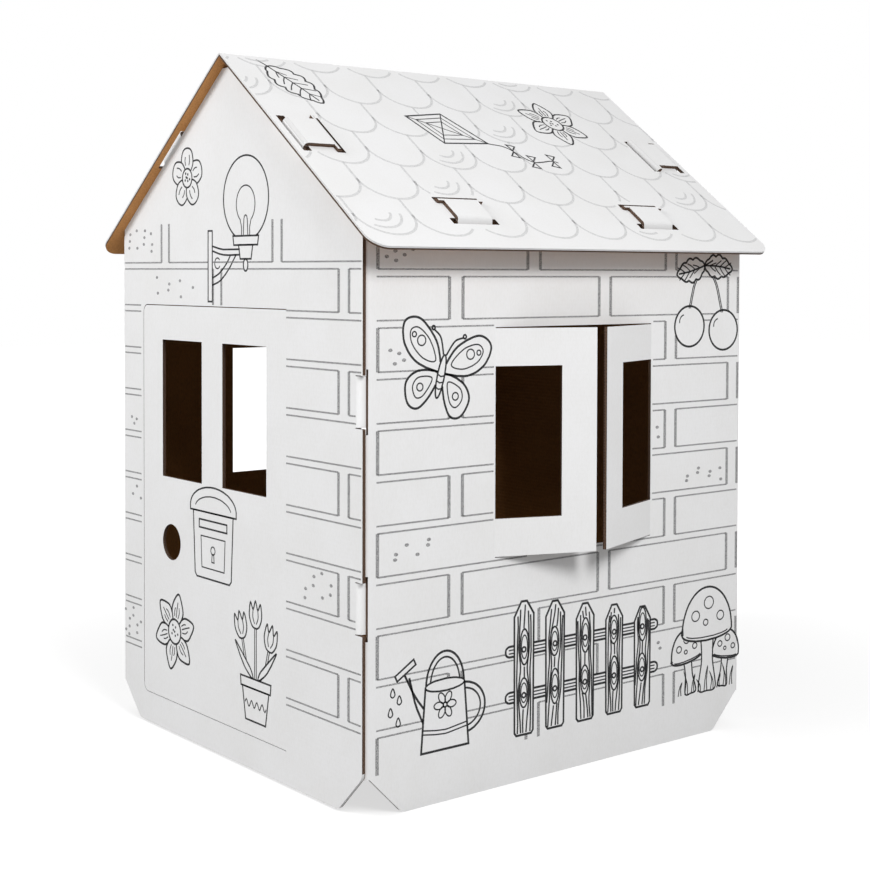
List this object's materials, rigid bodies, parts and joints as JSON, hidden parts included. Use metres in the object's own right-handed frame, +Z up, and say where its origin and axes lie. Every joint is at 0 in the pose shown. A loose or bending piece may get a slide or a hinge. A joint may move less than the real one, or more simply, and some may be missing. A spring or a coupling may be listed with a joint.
{
  "type": "cardboard playhouse",
  "caption": "Child's playhouse of folded corrugated board with a gable roof, a cut door, shuttered windows and tab-and-slot joints.",
  "frame": {"origin": "middle of the house's footprint, on the floor that the side walls stand on", "axes": "+Z up, -Y out of the front gable with the door, +X out of the right side wall"},
  "size_m": [0.8747, 0.884, 1.1845],
  "materials": {
    "wall_board": "matt white outer liner printed with grey brickwork and black line drawings, kraft brown inside and at cut edges",
    "roof_board": "matt white outer liner printed with pale grey shingles, kraft brown underneath and at cut edges"
  },
  "bodies": {
    "root": {"front_and_left_wall": "wall_board", "right_and_back_wall": "wall_board", "roof": "roof_board"}
  },
  "joints": []
}
